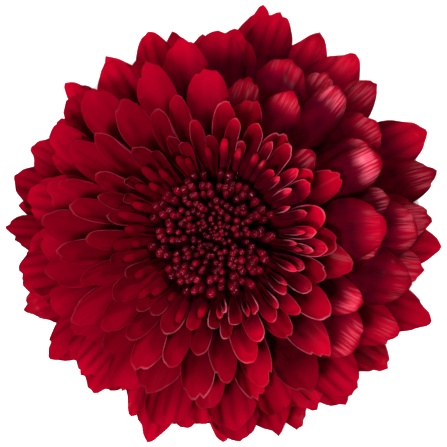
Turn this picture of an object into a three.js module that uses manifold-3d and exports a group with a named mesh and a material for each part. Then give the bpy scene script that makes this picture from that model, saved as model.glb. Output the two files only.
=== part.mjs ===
// A cut chrysanthemum bloom of the large, open kind: a disc of closed florets in the middle, whorls
// of strap-shaped ray florets around it, a green cup of bracts under them and a short cut stem.
// It lies face up on its lowest, turned-down rays. Millimetres, +Z up, the surface at z = 0.

import * as THREE from "three";
import { mergeVertices } from "three/addons/utils/BufferGeometryUtils.js";
import Module from "manifold-3d";

const wasm = await Module();
wasm.setup();

// Where the flower's own axis stands, so that the middle of the whole outline is at the origin.
const AXIS_X = 0.6;
const AXIS_Y = -0.58;

// Heights along the axis.
const STEM_TOP_Z = 12;
const CUP_TOP_Z = 21.5;
const DISC_FLOOR_Z = 29.5;

// Stem.
const STEM_R = 2.6;
const STEM_RIBS = 7;
const STEM_RIB_DEPTH = 0.28;
const STEPS_PER_RIB = 4;

// Disc of closed florets: they stand on a low cushion and lean outwards.
const DISC_COUNT = 112;
const DISC_SPREAD = 0.75;
const DISC_FOOT_R = 10.0;
const DISC_CUSHION_R = 11.3;
const BUD_R = 1.2;
const BUD_GROWTH = 0.45;
const BUD_CURVE = 1.5;
const BUD_FOOT_Z = 30.15;
const BUD_HEIGHT = [1.7, 6.0];
const BUD_VARIES = { height: 0.6, lean: 9, sideways: 12 };
const BUD_LEAN = 37;
const BUD_SHOULDER = 0.74;
const BUD_FOOT = 0.6;
const BUD_SIDES = 4;

// Ray florets, from the innermost (age 0) to the oldest, lowest row (age 1).
const GOLDEN_ANGLE = 137.508;
const INNER_RAYS = 150;
const INNER_LAST_AGE = 0.85;
const INNER_CROWDING = 1.18;
const RAY_THICKNESS = 0.72;
const CLAW_WIDTH = 1.3;
const LOWEST_MID_Z = 0.15;

// How a ray changes with age, in equal steps from age 0 to age 1.
const TIP_R = [18, 20.5, 25, 30.5, 36.5, 42, 46.5, 52, 54.5];
const TIP_Z = [36.5, 39.5, 41.5, 41.5, 38.5, 32, 23.5, 11, -4];
const BASE_ANGLE = [62, 64, 64, 60, 52, 44, 35, 24, 10];
const TIP_ANGLE = [72, 66, 56, 38, 12, -18, -42, -50, -42];
const WIDTH = [2.2, 2.9, 4.2, 6.7, 9.4, 11.3, 12.4, 12.8, 12.4];
const ROLL = [1.5, 1.4, 1.25, 1.15, 1.05, 0.95, 0.8, 0.65, 0.55];
const BASE_R = [13.3, 10.8];
const BASE_Z = [28.4, 23.2];

// How far a ray may differ from its age's shape: shares of the size, millimetres and degrees.
const RAY_VARIES = {
  reach: 0.05, height: 1, tipAngle: 8, width: 0.14, roll: 0.25, twist: 14, sway: 2, turn: 3.5,
};

// The outline of a blade, and its midrib's two handles as shares of its chord.
const WIDEST = 0.72;
const NARROW_NECK = 2.2;
const TIP_BLUNT = [2.3, 1.3];
const TIP_SHOULDER = 0.6;
const MIDRIB_HANDLES = [0.38, 0.36];
const YOUNG_ROWS = [0, 0.72];
const GROWN_ROWS = [0, 0.45, 0.8];
const RIM_ROWS = [0, 0.42, 0.72, 0.92];
const GROWN_AGE = 0.22;

// The side on which the rays lean out further and, in the ages between, roll their margins down
// instead of up. Near it the innermost rays stand off from the disc and leave a moat.
const OPEN_SIDE = 25;
const OPEN_REACH = 0.02;
const OPEN_AGES = [0.45, 0.7];
const CLOSED_AGES = [0.76, 0.9];
const CLOSED_SHARE = 0.7;
const OPEN_ROLL = -1.1;
const OPEN_TIP_TURN = 30;
const MOAT_SIDE = -5;
const MOAT_REACH = 0.16;
const MOAT_AGE = 0.3;

// The rays of the rim, which make the outline: direction in degrees and reach in millimetres.
// Those of the longer reach hang lowest, those of the shorter one lie just above them.
const LONG_REACH = 50;
const LONG_AGES = [0.93, 0.965, 1];
const SHORT_AGE = 0.88;
const RIM = [
  [3, 52], [15, 54.5], [26, 56], [44, 52.5], [53, 54.5], [64, 54.5], [75, 55.5], [80, 56.5],
  [105, 51], [111, 53], [125, 53], [138, 55], [157, 53], [167, 56], [174, 53.5], [180, 55.5],
  [196, 54.5], [202, 56], [216, 55.5], [230, 54.5], [243, 54.5], [250, 57.5], [258, 52.5], [269, 54.5],
  [274, 54], [284, 54], [290, 55], [297, 51], [304, 54], [319, 54], [336, 56.5],
  [348, 51], [355, 54.5], [34, 46.5], [86, 49.5], [94, 48.5], [117, 46.5], [147, 49], [188, 49.5],
  [223, 49.5], [264, 48.5],
];

// A seeded stream of draws from -1 to 1.
const RAY_SEED = 20251;
const DISC_SEED = 77;
function drawsFrom(seed) {
  let state = seed;
  return () => {
    state = (state * 48271) % 2147483647;
    return (state / 2147483647) * 2 - 1;
  };
}

const radians = THREE.MathUtils.degToRad;

function keyed(list, age) {
  const place = THREE.MathUtils.clamp(age, 0, 1) * (list.length - 1);
  const index = Math.min(Math.floor(place), list.length - 2);
  return THREE.MathUtils.lerp(list[index], list[index + 1], place - index);
}

// How far one direction faces another, from 0 at right angles or behind to 1.
function facing(azimuth, side) {
  return Math.max(0, Math.cos(radians(azimuth - side)));
}

// The shape of one ray. Every ray takes the same number of draws.
function rayShape(draw, age, azimuth, reach) {
  const { smoothstep } = THREE.MathUtils;
  const open = smoothstep(age, ...OPEN_AGES) - CLOSED_SHARE * smoothstep(age, ...CLOSED_AGES);
  const turnDown = open * facing(azimuth, OPEN_SIDE);
  const moat = MOAT_REACH * (1 - smoothstep(age, 0, MOAT_AGE)) * facing(azimuth, MOAT_SIDE);
  const lean = 1 + OPEN_REACH * Math.cos(radians(azimuth - OPEN_SIDE)) + moat;
  const freeReach = keyed(TIP_R, age) * lean * (1 + RAY_VARIES.reach * draw());
  const tipZ = keyed(TIP_Z, age) + RAY_VARIES.height * (1 - age / 2) * draw();
  const tipAngle = keyed(TIP_ANGLE, age) + RAY_VARIES.tipAngle * draw() - OPEN_TIP_TURN * turnDown;
  const width = keyed(WIDTH, age) * (1 + RAY_VARIES.width * draw());
  const roll = keyed(ROLL, age) * (1 + RAY_VARIES.roll * draw());
  const twistDraw = draw();
  const sway = RAY_VARIES.sway * Math.min(1, age * 2) * draw();
  const turn = RAY_VARIES.turn * draw();
  return {
    azimuth: reach ? azimuth : azimuth + turn,
    base: [keyed(BASE_R, age), keyed(BASE_Z, age)],
    tip: [reach ?? freeReach, tipZ],
    baseAngle: keyed(BASE_ANGLE, age),
    tipAngle,
    width,
    roll: THREE.MathUtils.lerp(roll, OPEN_ROLL, turnDown),
    twist: RAY_VARIES.twist * twistDraw * Math.abs(twistDraw),
    sway: reach ? 0 : sway,
    tipBlunt: keyed(TIP_BLUNT, age),
  };
}

// Half the width of a blade at a share u of its length, as a share of half its full width.
function outline(u, claw, tipBlunt) {
  if (u < WIDEST) {
    return THREE.MathUtils.lerp(claw, 1, Math.sin((u / WIDEST) * Math.PI / 2) ** NARROW_NECK);
  }
  const end = (u - WIDEST) / (1 - WIDEST);
  return Math.max(0, 1 - end ** tipBlunt) ** TIP_SHOULDER;
}

// One blade: a midrib bent in the plane of its direction, with a lens-shaped section that is
// rolled into an arc. Rows run from the claw to the tip, four points a row, and a tip point.
function bladeGeometry(shape, rows, thickness) {
  const base = new THREE.Vector2(...shape.base);
  const tip = new THREE.Vector2(...shape.tip);
  const chord = base.distanceTo(tip);
  const from = radians(shape.baseAngle);
  const to = radians(shape.tipAngle);
  const leaving = new THREE.Vector2(Math.cos(from), Math.sin(from));
  const arriving = new THREE.Vector2(Math.cos(to), Math.sin(to));
  const midrib = new THREE.CubicBezierCurve(
    base,
    base.clone().addScaledVector(leaving, MIDRIB_HANDLES[0] * chord),
    tip.clone().addScaledVector(arriving, -MIDRIB_HANDLES[1] * chord),
    tip,
  );
  const direction = radians(shape.azimuth);
  const out = new THREE.Vector3(Math.cos(direction), Math.sin(direction), 0);
  const across = new THREE.Vector3(-Math.sin(direction), Math.cos(direction), 0);
  const up = new THREE.Vector3(0, 0, 1);
  const claw = CLAW_WIDTH / shape.width;

  function point(u, side, lift) {
    const mid = midrib.getPoint(u);
    const along = midrib.getTangent(u);
    const half = (shape.width / 2) * outline(u, claw, shape.tipBlunt);
    const bend = shape.roll * side;
    const rolled = half * Math.sin(bend) / shape.roll;
    const raised = half * (1 - Math.cos(bend)) / shape.roll + lift * thickness / 2;
    const twist = radians(shape.twist) * u;
    const sideways = rolled * Math.cos(twist) - raised * Math.sin(twist) + shape.sway * u * u;
    const lifted = rolled * Math.sin(twist) + raised * Math.cos(twist);
    const radius = mid.x - lifted * along.y;
    const height = Math.max(mid.y, LOWEST_MID_Z) + lifted * along.x;
    return out.clone().multiplyScalar(radius)
      .addScaledVector(across, sideways)
      .addScaledVector(up, height);
  }

  const points = [];
  for (const u of rows) {
    points.push(point(u, -1, 0), point(u, 0, 1), point(u, 1, 0), point(u, 0, -1));
  }
  points.push(point(1, 0, 0));
  const last = points.length - 1;
  const faces = [0, 1, 2, 0, 2, 3];
  for (let row = 0; row < rows.length - 1; row++) {
    for (let k = 0; k < 4; k++) {
      const a = row * 4 + k;
      const b = row * 4 + (k + 1) % 4;
      faces.push(a, a + 4, b, b, a + 4, b + 4);
    }
  }
  for (let k = 0; k < 4; k++) {
    faces.push(last - 4 + k, last, last - 4 + (k + 1) % 4);
  }
  const geometry = new THREE.BufferGeometry().setFromPoints(points);
  geometry.setIndex(faces);
  return geometry;
}

// A closed mesh as a solid, and back.
function solidOf(geometry) {
  const bare = geometry.clone();
  bare.deleteAttribute("normal");
  bare.deleteAttribute("uv");
  const merged = mergeVertices(bare, 1e-4);
  return new wasm.Manifold(new wasm.Mesh({
    numProp: 3,
    vertProperties: new Float32Array(merged.attributes.position.array),
    triVerts: new Uint32Array(merged.index.array),
  }));
}

// A solid's outer skin alone: a pocket that is shut off inside it becomes solid.
function withoutPockets(solid) {
  return solid.decompose().reduce((kept, skin) => (skin.volume() > kept.volume() ? skin : kept));
}

function geometryOf(solid) {
  const mesh = solid.getMesh();
  const geometry = new THREE.BufferGeometry();
  geometry.setAttribute("position", new THREE.BufferAttribute(new Float32Array(mesh.vertProperties), 3));
  geometry.setIndex(new THREE.BufferAttribute(new Uint32Array(mesh.triVerts), 1));
  geometry.computeVertexNormals();
  return geometry;
}

function lathe(profile, sides) {
  const points = profile.map(([r, z]) => new THREE.Vector2(r, z));
  return new THREE.LatheGeometry(points, sides).rotateX(Math.PI / 2);
}

// Ray florets: all the rays with the core that carries them. A straight-sided well is cut for the
// disc, and what would reach below the surface is cut flat.
const LATHE_SIDES = 24;
const GROUND = 200;
const CORE = [
  [0, CUP_TOP_Z], [11.6, CUP_TOP_Z], [12.8, 23.4], [13.6, 26], [13.8, 28.2], [13.2, 29.2],
  [12.3, DISC_FLOOR_Z], [0, DISC_FLOOR_Z],
];
const WELL = [
  [0, DISC_FLOOR_Z], [12, DISC_FLOOR_Z], [14.9, 33], [15.8, 35.5], [16.8, 42], [0, 42],
];

function rayFlorets() {
  const draw = drawsFrom(RAY_SEED);
  let rays = solidOf(lathe(CORE, LATHE_SIDES));
  for (let n = 0; n < INNER_RAYS; n++) {
    const age = INNER_LAST_AGE * (n / (INNER_RAYS - 1)) ** INNER_CROWDING;
    const rows = age < GROWN_AGE ? YOUNG_ROWS : GROWN_ROWS;
    const blade = bladeGeometry(rayShape(draw, age, n * GOLDEN_ANGLE), rows, RAY_THICKNESS);
    rays = rays.add(solidOf(blade));
  }
  RIM.forEach(([azimuth, reach], n) => {
    const age = reach > LONG_REACH ? LONG_AGES[n % LONG_AGES.length] : SHORT_AGE;
    const blade = bladeGeometry(rayShape(draw, age, azimuth, reach), RIM_ROWS, RAY_THICKNESS);
    rays = rays.add(solidOf(blade));
  });
  const surface = new THREE.BoxGeometry(GROUND, GROUND, GROUND).translate(0, 0, -GROUND / 2);
  rays = rays.subtract(solidOf(lathe(WELL, LATHE_SIDES))).subtract(solidOf(surface));
  return withoutPockets(rays);
}

// Disc florets: closed buds on a low cushion, small and sunk in the middle, larger and leaning
// outwards at the edge.
const CUSHION = [
  [0, DISC_FLOOR_Z], [DISC_CUSHION_R, DISC_FLOOR_Z], [DISC_CUSHION_R, 30.4], [9, 31.4],
  [5, 31.2], [0, 30.4],
];

function discFlorets() {
  const draw = drawsFrom(DISC_SEED);
  let disc = solidOf(lathe(CUSHION, LATHE_SIDES));
  for (let n = 0; n < DISC_COUNT; n++) {
    const outward = ((n + 0.5) / DISC_COUNT) ** DISC_SPREAD;
    const headR = BUD_R * outward ** BUD_GROWTH;
    const height = THREE.MathUtils.lerp(...BUD_HEIGHT, outward) + BUD_VARIES.height * draw();
    const lean = BUD_LEAN * outward ** BUD_CURVE + BUD_VARIES.lean * draw();
    const sideways = BUD_VARIES.sideways * draw();
    const shoulder = [headR, height * BUD_SHOULDER];
    const bud = lathe([[0, 0], [headR * BUD_FOOT, 0], shoulder, [0, height]], BUD_SIDES);
    bud.rotateZ(n);
    bud.rotateY(radians(lean));
    bud.rotateX(radians(sideways));
    bud.translate(outward * DISC_FOOT_R, 0, BUD_FOOT_Z);
    bud.rotateZ(radians(n * GOLDEN_ANGLE));
    disc = disc.add(solidOf(bud));
  }
  return disc;
}

// Involucre: the green cup under the rays, with three rows of narrow bracts pressed against it.
const CUP = [
  [0, STEM_TOP_Z], [3.4, STEM_TOP_Z], [6.4, 13.2], [9.4, 15.8], [11.2, 18.8], [11.8, CUP_TOP_Z],
  [0, CUP_TOP_Z],
];
const BRACT_ROWS = [
  { count: 13, base: [4.4, 13.1], tip: [10.6, 15.9], turn: 0, width: 3.0 },
  { count: 13, base: [7.0, 14.4], tip: [12.6, 18.4], turn: 13.8, width: 3.2 },
  { count: 17, base: [9.6, 16.6], tip: [13.4, 20.7], turn: 5, width: 3.4 },
];
const BRACT = { baseAngle: 12, tipAngle: 62, roll: 0.5, twist: 0, sway: 0, tipBlunt: 2.1 };
const BRACT_STATIONS = [0, 0.6];
const BRACT_THICKNESS = 0.76;

function involucre() {
  let cup = solidOf(lathe(CUP, LATHE_SIDES));
  for (const row of BRACT_ROWS) {
    for (let n = 0; n < row.count; n++) {
      const shape = { ...BRACT, ...row, azimuth: row.turn + n * 360 / row.count };
      cup = cup.add(solidOf(bladeGeometry(shape, BRACT_STATIONS, BRACT_THICKNESS)));
    }
  }
  return cup;
}

// Stem: a short stub with shallow ribs, cut square.
function stem() {
  const steps = STEM_RIBS * STEPS_PER_RIB;
  const outlinePoints = [];
  for (let n = 0; n < steps; n++) {
    const angle = (n / steps) * 2 * Math.PI;
    const r = STEM_R + STEM_RIB_DEPTH * Math.cos(angle * STEM_RIBS);
    outlinePoints.push(new THREE.Vector2(r * Math.cos(angle), r * Math.sin(angle)));
  }
  const section = new THREE.Shape(outlinePoints);
  return solidOf(new THREE.ExtrudeGeometry(section, { depth: STEM_TOP_Z, bevelEnabled: false }));
}

// The bloom.
const bloom = new THREE.Group();
bloom.position.set(AXIS_X, AXIS_Y, 0);

function addPiece(name, solid, color, roughness) {
  const material = new THREE.MeshStandardMaterial({ color, roughness, metalness: 0 });
  const mesh = new THREE.Mesh(geometryOf(solid), material);
  mesh.name = name;
  bloom.add(mesh);
}

addPiece("ray_florets", rayFlorets(), 0x9c0a1f, 0.55);
addPiece("disc_florets", discFlorets(), 0x8a1228, 0.4);
addPiece("involucre", involucre(), 0x55702f, 0.7);
addPiece("stem", stem(), 0x5f7a38, 0.65);

export default bloom;
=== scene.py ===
"""A cut chrysanthemum bloom, lying face up: whorls of crimson ray florets round a disc of closed
florets, with the green cup of bracts and the stub of stem under them.

The solids of the frame give the places. Each piece here replaces a solid with a finer one that
follows the same rule: the golden angle, and sizes that change with a floret's age.
Shapes are worked out in millimetres and turned into metres when a mesh is made.
"""
import math

import bpy
import numpy as np
from bpy.props import FloatProperty, FloatVectorProperty, IntProperty, PointerProperty
from mathutils import Matrix, Vector


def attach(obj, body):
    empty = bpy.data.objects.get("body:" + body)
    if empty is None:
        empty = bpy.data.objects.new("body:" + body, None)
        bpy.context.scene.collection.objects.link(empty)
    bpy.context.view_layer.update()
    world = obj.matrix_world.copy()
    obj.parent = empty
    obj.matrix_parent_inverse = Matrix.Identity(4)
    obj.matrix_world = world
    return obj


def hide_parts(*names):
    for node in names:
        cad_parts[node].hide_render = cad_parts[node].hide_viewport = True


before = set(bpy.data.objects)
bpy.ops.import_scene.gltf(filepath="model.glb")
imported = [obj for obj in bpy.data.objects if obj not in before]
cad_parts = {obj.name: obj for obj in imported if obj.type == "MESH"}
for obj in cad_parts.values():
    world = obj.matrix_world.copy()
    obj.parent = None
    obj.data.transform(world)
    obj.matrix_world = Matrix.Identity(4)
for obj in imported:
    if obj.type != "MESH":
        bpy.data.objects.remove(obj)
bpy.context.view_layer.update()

bl_info = {
    "name": "Chrysanthemum bloom",
    "version": (1, 0, 0),
    "blender": (4, 5, 0),
    "location": "View3D > Sidebar > Bloom",
    "description": "Builds a chrysanthemum bloom with its rays, disc, involucre and stem",
    "category": "Add Mesh",
}

MM = 0.001

# The flower's own axis, and the heights along it.
AXIS = (0.6, -0.58)
STEM_TOP_Z = 12.0
CUP_TOP_Z = 21.5
DISC_FLOOR_Z = 29.5

# How a ray changes with age, in equal steps from the innermost to the lowest.
TIP_R = (18, 20.5, 25, 30.5, 36.5, 42, 46.5, 52, 54.5)
TIP_Z = (36.5, 39.5, 41.5, 41.5, 38.5, 32, 23.5, 11, -4)
BASE_ANGLE = (62, 64, 64, 60, 52, 44, 35, 24, 10)
TIP_ANGLE = (72, 66, 56, 38, 12, -18, -42, -50, -42)
WIDTH = (2.2, 2.9, 4.2, 6.7, 9.4, 11.3, 12.4, 12.8, 12.4)
ROLL = (1.5, 1.4, 1.25, 1.15, 1.05, 0.95, 0.8, 0.65, 0.55)
BASE_R = (13.3, 10.8)
BASE_Z = (28.4, 23.2)
GOLDEN_ANGLE = 137.508
INNER_RAYS = 150
INNER_LAST_AGE = 0.85
INNER_CROWDING = 1.18
CLAW_WIDTH = 1.3
CROWN_Z = 41.3
CROWN_PRESS = 0.65
LOWEST_MID_Z = 0.15
LOWEST_Z = 0.02

# How far a ray may differ from its age's shape.
RAY_VARIES = {
    "reach": 0.05, "height": 1, "tip_angle": 8, "width": 0.14,
    "roll": 0.25, "twist": 14, "sway": 2, "turn": 3.5,
}

# The outline of a blade: where it is widest, its neck, its tip and how its midrib bends.
WIDEST = 0.72
NARROW_NECK = 2.2
YOUNG_NECK = 1.3
TIP_BLUNT = (2.3, 1.3)
TIP_SHOULDER = 0.6
POINTED_TIP = (1.1, 0.8)
MIDRIB_HANDLES = (0.38, 0.36)

# Seeds of the draws. Each blade and each bud has its own, a step from the one before.
RAY_SEED = 20251
BLADE_SEED = (1000, 37)
DISC_SEED = 77
BUD_SEED = (500, 31)

# The ages over which a trait of the rays comes, as shares of the oldest ray's.
AGES = {
    "neck": (0.2, 0.5), "quill": (0.06, 0.2), "spoon": (0.1, 0.5), "leaning": (0.15, 0.35),
    "slim": (0.25, 0.4), "grown": (0.3, 0.6), "young": (0.3, 0.42), "old": (0.6, 0.8),
    "twisted": (0.15, 0.4), "straight": (0.8, 0.9), "pointed": (0.6, 0.85), "creased": (0.82, 0.9),
    "cupped": (0.12, 0.25), "uncupped": (0.5, 0.6), "short": (0.32, 0.4), "long": (0.54, 0.6),
    "dull": (0.5, 0.75), "thin rim": (0.1, 0.4), "dim": (0.8, 0.88), "deep": (0.4, 0.65),
    "even": (0.25, 0.45),
}

# The side on which the rays lean out further and roll their margins down.
OPEN_SIDE = 25
OPEN_REACH = 0.02
OPEN_AGES = (0.45, 0.7)
CLOSED_AGES = (0.76, 0.9)
CLOSED_SHARE = 0.7
MOAT_REACH = 0.16
MOAT_AGE = 0.3
MOAT_SIDE = -5
OPEN_ROLL = -1.1
OPEN_TIP_TURN = 30

# How much shorter and lower the rays of middle age are on that side, and how much painted shade darkens
# them.
SHORTER = {"reach": 0.15, "drop": 1.5, "hollow": 0.8}

# Rays of the open side with tips like an egg, every other one smaller. All other rays are twisted.
EGG_OPENNESS = 0.3
EGG_LAST_AGE = 0.86
LARGE_EGG = {"roll": 1.15, "width": 1.22}
SMALL_EGG = {"reach": 0.9, "drop": 4, "width": 0.85}
TWIST = 16
TWIST_LOSS = 0.6

# The youngest rays are quills: closed and rounded above, apart from those towards this side, whose
# margins stand up.
CLOSED_QUILL_AGE = 0.17
OPEN_QUILL_SIDE = -20
OPEN_QUILL_REACH = 0.35
CLOSED_QUILL = {"roll": -1.25, "roll_varies": 0.3, "tip": (2.0, 0.5), "hood": -0.9}
QUILL = {
    "roll": 0.5, "turn": 2.5, "reach": 0.07, "tip_angle": 14, "blunt": 0.25, "shoulder": 0.2,
    "hood": 0.9, "thick": 1.6, "climb": 0.3,
}

# The younger rays lean out further towards one side, and are slimmer towards another.
LEAN_SIDE = 0
LEAN_ANGLE = 30
SLIM_SIDE = 10
SLIM_SHARE = 0.22

# The side on which the painted shade on the rays is more even. It lies further round for old rays.
CALM_SIDE = 168
CALM_OLD_TURN = 60
CALM_SHADE = 0.74

# The side on which the younger rays are slimmer, more rolled and darker inside with painted shade, with
# the palest margins, partly painted highlight.
CUPPED_SIDE = 115
CUPPED = {"slimmer": 0.11, "roll": 0.3, "hollow": 1.1, "margin_highlight": 0.6}

# The reliefs of a blade in millimetres, and its teeth as shares of half its width.
CHANNEL_DEPTH = 0.35
CREASE_DEPTH = 0.55
RUFFLE_HEIGHT = 0.42
MARGIN_LIFT = 0.35
TOOTH_WIDTH = 0.075
TOOTH_PLACES = 0.62

# Painted light on rays of some ages and sides, as brightness in their colour: how much, the ages over
# which it comes, the direction, and how narrow it is.
LIGHT_OPEN = 0.26
LIGHT_OPEN_LOSS = 0.34
LIGHT = (
    (0.24, (0.5, 0.6), 90, 1),
    (0.25, (0.85, 0.9), 80, 4),
    (0.22, (0.6, 0.75), 300, 1),
)
LIGHT_YOUNG = 0.3
LIGHT_YOUNG_SIDE = 20
LIGHT_CALM = 0.03

# The side with the most gloss and painted sheen, how much of both the youngest and oldest rays have, and
# the sides on which the margins are paler and palest, partly with painted highlight.
GLOSS_AND_SHEEN_SIDE = 10
YOUNG_GLOSS_AND_SHEEN = 0.4
OLD_GLOSS_AND_SHEEN = 0.22
MARGIN_HIGHLIGHT_SIDE = -20
MARGIN_BRIGHTEST_SIDE = 270

# The rays of the rim: direction in degrees and reach in millimetres.
LONG_REACH = 50
LONG_AGES = (0.93, 0.965, 1)
SHORT_AGE = 0.88
RIM = (
    (3, 52), (15, 54.5), (26, 56), (44, 52.5), (53, 54.5), (64, 54.5), (75, 55.5), (80, 56.5),
    (105, 51), (111, 53), (125, 53), (138, 55), (157, 53), (167, 56), (174, 53.5), (180, 55.5),
    (196, 54.5), (202, 56), (216, 55.5), (230, 54.5), (243, 54.5), (250, 57.5), (258, 52.5), (269, 54.5),
    (274, 54), (284, 54), (290, 55), (297, 51), (304, 54), (319, 54), (336, 56.5),
    (348, 51), (355, 54.5), (34, 46.5), (86, 49.5), (94, 48.5), (117, 46.5), (147, 49), (188, 49.5),
    (223, 49.5), (264, 48.5),
)

# The pieces of the rays: their names, youngest and oldest age, and the rows and columns of a blade.
WHORLS = (
    ("rays_inner", 0, 0.2, 18, 13),
    ("rays_second", 0.2, 0.4, 22, 17),
    ("rays_middle", 0.4, 0.6, 26, 19),
    ("rays_outer", 0.6, 0.87, 28, 21),
    ("rays_rim", 0.87, 1.01, 30, 23),
)

# The grid under the rays already laid: half its width, a square's side, the height of open places,
# the gap to keep and the furthest that a ray is pressed.
CANOPY_HALF = 64
CANOPY_SQUARE = 0.25
CANOPY_OPEN = 100.0
CANOPY_GAP = 0.4
CANOPY_PRESS = 4.5

# Profiles turned about the axis, as radius and height.
LATHE_SIDES = 48
CORE = (
    (0.01, CUP_TOP_Z), (11.6, CUP_TOP_Z), (12.8, 23.4), (13.6, 26), (13.8, 28.2), (13.2, 29.2),
    (12.3, DISC_FLOOR_Z), (0.01, DISC_FLOOR_Z),
)
CUSHION = (
    (0.01, DISC_FLOOR_Z), (11.3, DISC_FLOOR_Z), (11.3, 30.4), (9, 31.4), (5, 31.2), (0.01, 30.4),
)
CUP = (
    (0.01, STEM_TOP_Z), (3.4, STEM_TOP_Z), (6.4, 13.2), (9.4, 15.8), (11.2, 18.8), (11.8, CUP_TOP_Z),
    (0.01, CUP_TOP_Z),
)

# The disc's buds, from its middle to its edge.
DISC_SPREAD = 0.62
DISC_FOOT_R = 10.9
# The place near the middle towards which the buds are darker: partly their younger colour, partly
# painted shade in the sunken middle.
DISC_DARKEST = (-0.2, -0.16)
BUD_FOOT_Z = 30.15
BUD_HEIGHT = (1.7, 6.0)
BUD_VARIES = {"radius": 0.14, "height": 0.8, "lean": 14, "sideways": 20}
BUD_LEAN = 48
BUD_SMALLEST = 0.42
BUD_SIDES = 20
BUD_LOBES = 5
BUD_LOBE_DEPTH = 0.06
BUD_SEAM_DEPTH = 0.12
# Painted shade on the outer buds towards one side, and that side.
BUD_SHADE = 0.35
BUD_SHADE_SIDE = 45

# The rows of bracts, from the lowest, and what all of them share.
BRACT_ROWS = (
    {"count": 13, "base": (4.4, 13.1), "tip": (10.6, 15.9), "turn": 0, "width": 3.0},
    {"count": 13, "base": (7.0, 14.4), "tip": (12.6, 18.4), "turn": 13.8, "width": 3.2},
    {"count": 17, "base": (9.6, 16.6), "tip": (13.4, 20.7), "turn": 5, "width": 3.4},
)
BRACT_SHAPE = {
    "base_angle": 12, "tip_angle": 62, "roll": 0.5, "twist": 0, "sway": 0, "neck": NARROW_NECK,
    "spoon": 0,
}
BRACT_GRID = (16, 13)
BRACT_KEEL = 0.22
BRACT_THICKNESS = 0.5
BRACT_HALF_WIDTH = 1.5
BRACT_LENGTH = 6

# The stub of stem, and the profile of its cut end.
STEM_R = 2.6
STEM_SIDES = 84
STEM_RIBS = 7
STEM_RIB_DEPTH = 0.28
STEM_END = ((0.01, 0.15), (1.2, 0.05), (2.3, 0), (2.55, 0.12))

# Factors on the red, green and blue of a ray: in painted shade and painted light, with age, in the
# painted shade of cups and creases, and under the painted sheen.
DIM = (0.48, 1, 0.55)
BRIGHT = (1.45, 1, 1.45)
PLAIN = (1, 1, 1)
MIDDLE_AGED = (0.86, 1, 0.86)
AGED = (1.18, 1, 1.18)
PAINTED_SHADE_FACTOR = (0.38, 1, 0.44)
PAINTED_SHEEN_FACTOR = (1.9, 1, 2.1)

# Colours that are mixed in, and factors on the buds' colour.
RAY_LINE_COLOR = (0.15, 0, 0.005)
RAY_PATCH_COLOR = (0.21, 0, 0.008)
# A painted highlight: the colour of the glints in the rays' painted sheen.
PAINTED_GLINT_COLOR = (1, 0.13, 0.23)
# Painted shade: the receptacle's near-black, deep in the bloom.
RECEPTACLE_SHADE_COLORS = ((0.003, 0, 0.0006), (0.012, 0, 0.002))
# Painted shade: the buds darker at their feet, deep between them, and in the seams of their lobes.
BUD_FOOT_SHADE_COLOR = (0.015, 0, 0.003)
BUD_SEAM_SHADE_COLOR = (0.08, 0, 0.008)
# The buds from dim to bright: a random tone, with painted shade on the outer buds of one side.
BUD_DIM = (0.3, 1, 0.45)
BUD_BRIGHT = (1.2, 1, 1.2)
# The buds darker towards that place: partly their younger colour, partly painted shade.
BUD_DARKEST = (0.38, 1, 0.45)
BUD_AWAY_FROM_DARKEST = (0.9, 1, 0.9)
BUD_SHINE = (1, 0.25, 0.42)
GREEN_LINE_COLOR = (0.05, 0.10, 0.02)
GREEN_PATCH_COLOR = (0.2, 0.27, 0.09)

# The camera looks almost straight down, from a little towards the open side.
CAMERA_FROM = 25
CAMERA_TILT = 6.5
VIEW_WIDTH = 0.1112
SENSOR = 36
CAMERA_AIM = ((AXIS[0] + 0.2) * MM, (AXIS[1] + 1.4) * MM, 0.008)

# The soft lights: name, size and place. They point at the bloom.
LIGHTS = (
    ("key", 0.3, (-0.34, -0.34, 0.88)),
    ("fill", 0.7, (0, 0, 1.1)),
    ("side", 0.16, (0.45, 0.65, 0.57)),
)
LIGHTS_AIM = (0, 0, 0.02)

# The floor, the lamp that only it catches, and how much the world lights the bloom.
FLOOR_HALF = 2.0
FLOOR_LIGHT = 4.4
FLOOR_LIGHT_ANGLE = 0.5
WORLD_LIGHT = 0.08

# The floor's colour as the bloom meets it, so that little white light comes back from below.
FLOOR_TO_BLOOM = (0.25, 0.25, 0.25)


def color_of(name, description, default):
    return FloatVectorProperty(
        name=name, description=description, default=default, subtype="COLOR", size=3, min=0, max=1)


def length_of(name, description, default, low, high):
    return FloatProperty(
        name=name, description=description, default=default, min=low, max=high, unit="LENGTH",
        precision=5)


def power_of(name, description, default):
    return FloatProperty(
        name=name, description=description, default=default, min=0, max=200.0, unit="POWER")


class RaySettings(bpy.types.PropertyGroup):
    thickness: length_of(
        "Blade thickness", "Thickness of a ray away from its margin", 0.00042, 0.0001, 0.001)
    groove: length_of(
        "Groove depth", "Depth of the shallow channels along a grown ray", 0.00022, 0, 0.001)
    tooth: length_of("Tooth depth", "Depth of the notches in a ray's tip", 0.0014, 0, 0.003)
    face_color: color_of("Face", "Colour of a ray's face", (0.40, 0, 0.014))
    # The claw's dark colour is painted shade deep in the bloom.
    deep_shade_color: color_of("Depth", "Colour towards the claw, deep in the bloom", (0.03, 0, 0.005))
    # The pale margin is partly the margin's own colour and partly painted highlight.
    rim_color: color_of("Margin", "Colour of the thin pale margin", (0.62, 0.12, 0.19))
    under_color: color_of("Underside", "Colour of a ray's back", (0.34, 0.01, 0.05))


class DiscSettings(bpy.types.PropertyGroup):
    count: IntProperty(
        name="Florets", description="Number of florets in the disc",
        default=245, min=20, max=400)
    bud_radius: length_of("Bud radius", "Radius of the largest bud", 0.00096, 0.0003, 0.003)
    bud_color: color_of("Bud", "Colour of the closed buds", (0.175, 0, 0.008))


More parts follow.
